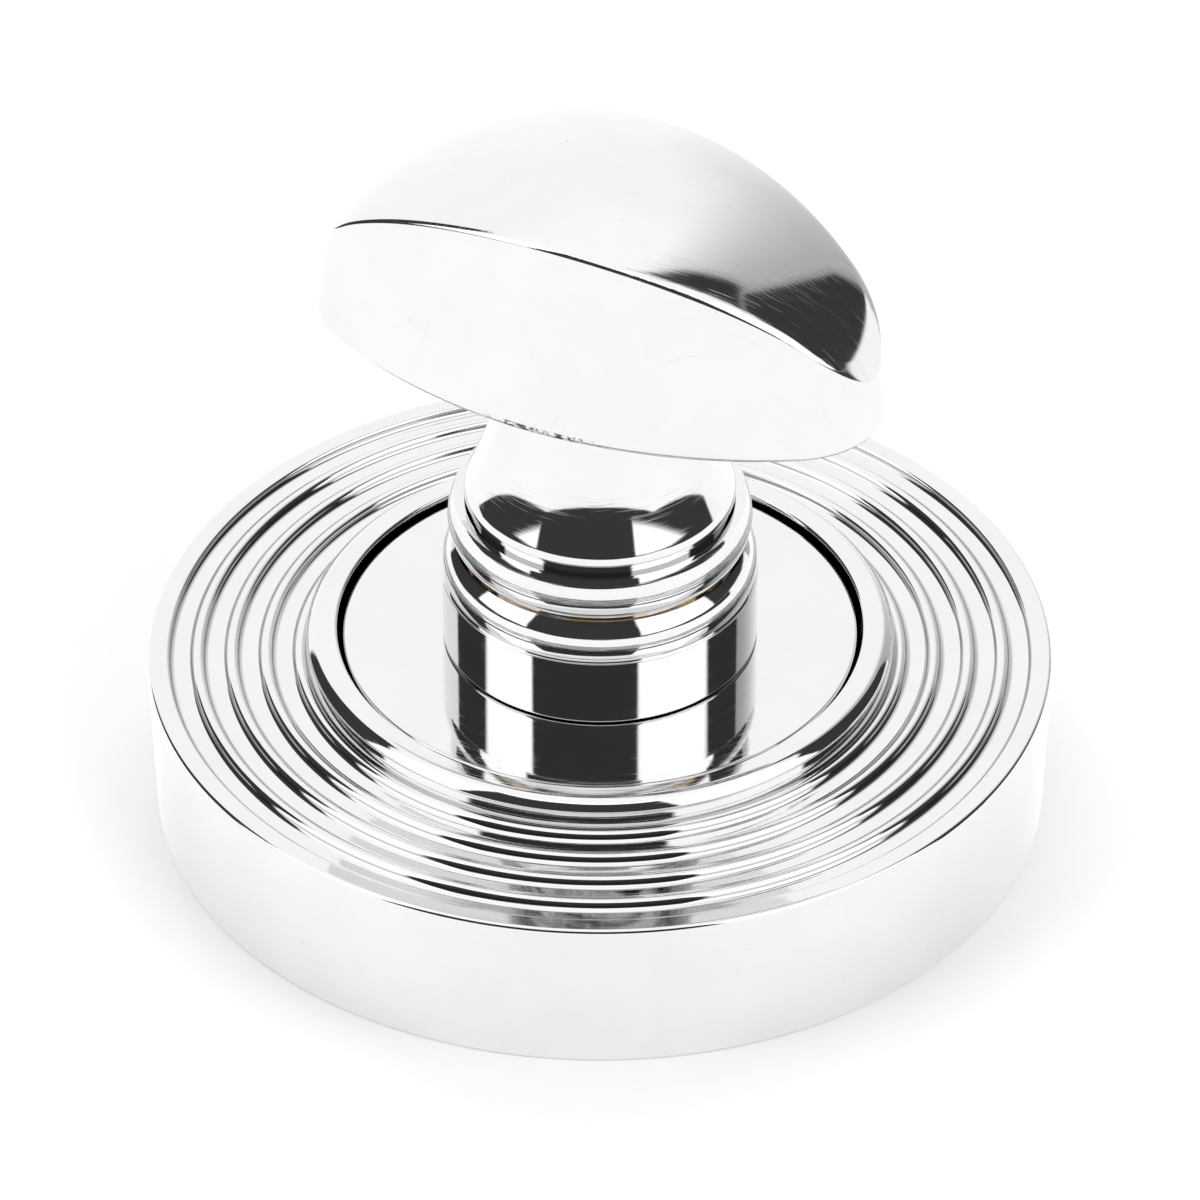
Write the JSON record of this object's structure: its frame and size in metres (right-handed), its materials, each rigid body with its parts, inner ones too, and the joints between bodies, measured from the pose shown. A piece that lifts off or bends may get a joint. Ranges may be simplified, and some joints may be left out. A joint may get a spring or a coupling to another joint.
{
  "type": "thumbturn",
  "caption": "Oval domed thumbturn on a moulded neck, turning in a round reeded rose that hides its fixing screws; a square socket behind drives a lock spindle.",
  "frame": {"origin": "spindle axis on the door's face, the middle of the rose's flat back", "axes": "+Z along the spindle axis, out of the door towards the hand; +X along the oval head's long axis at rest; +Y across the head"},
  "size_m": [0.053, 0.053, 0.0441],
  "materials": {
    "chrome_plate": "mirror-polished chrome plate on brass, with fine polishing lines",
    "nylon": "natural nylon, smooth",
    "spring_steel": "plain spring steel, lightly oiled"
  },
  "bodies": {
    "rose": {"rose_cover": "chrome_plate", "base_plate": "chrome_plate", "bearing_washer": "nylon", "thrust_washer": "spring_steel"},
    "turn": {"turn": "chrome_plate", "circlip": "spring_steel"}
  },
  "joints": [
    {"name": "turn_hinge", "type": "hinge", "parent": "rose", "child": "turn", "pos_m": [0, 0, 0], "axis": [0, 0, 1], "range_deg": [-90, 90]}
  ]
}
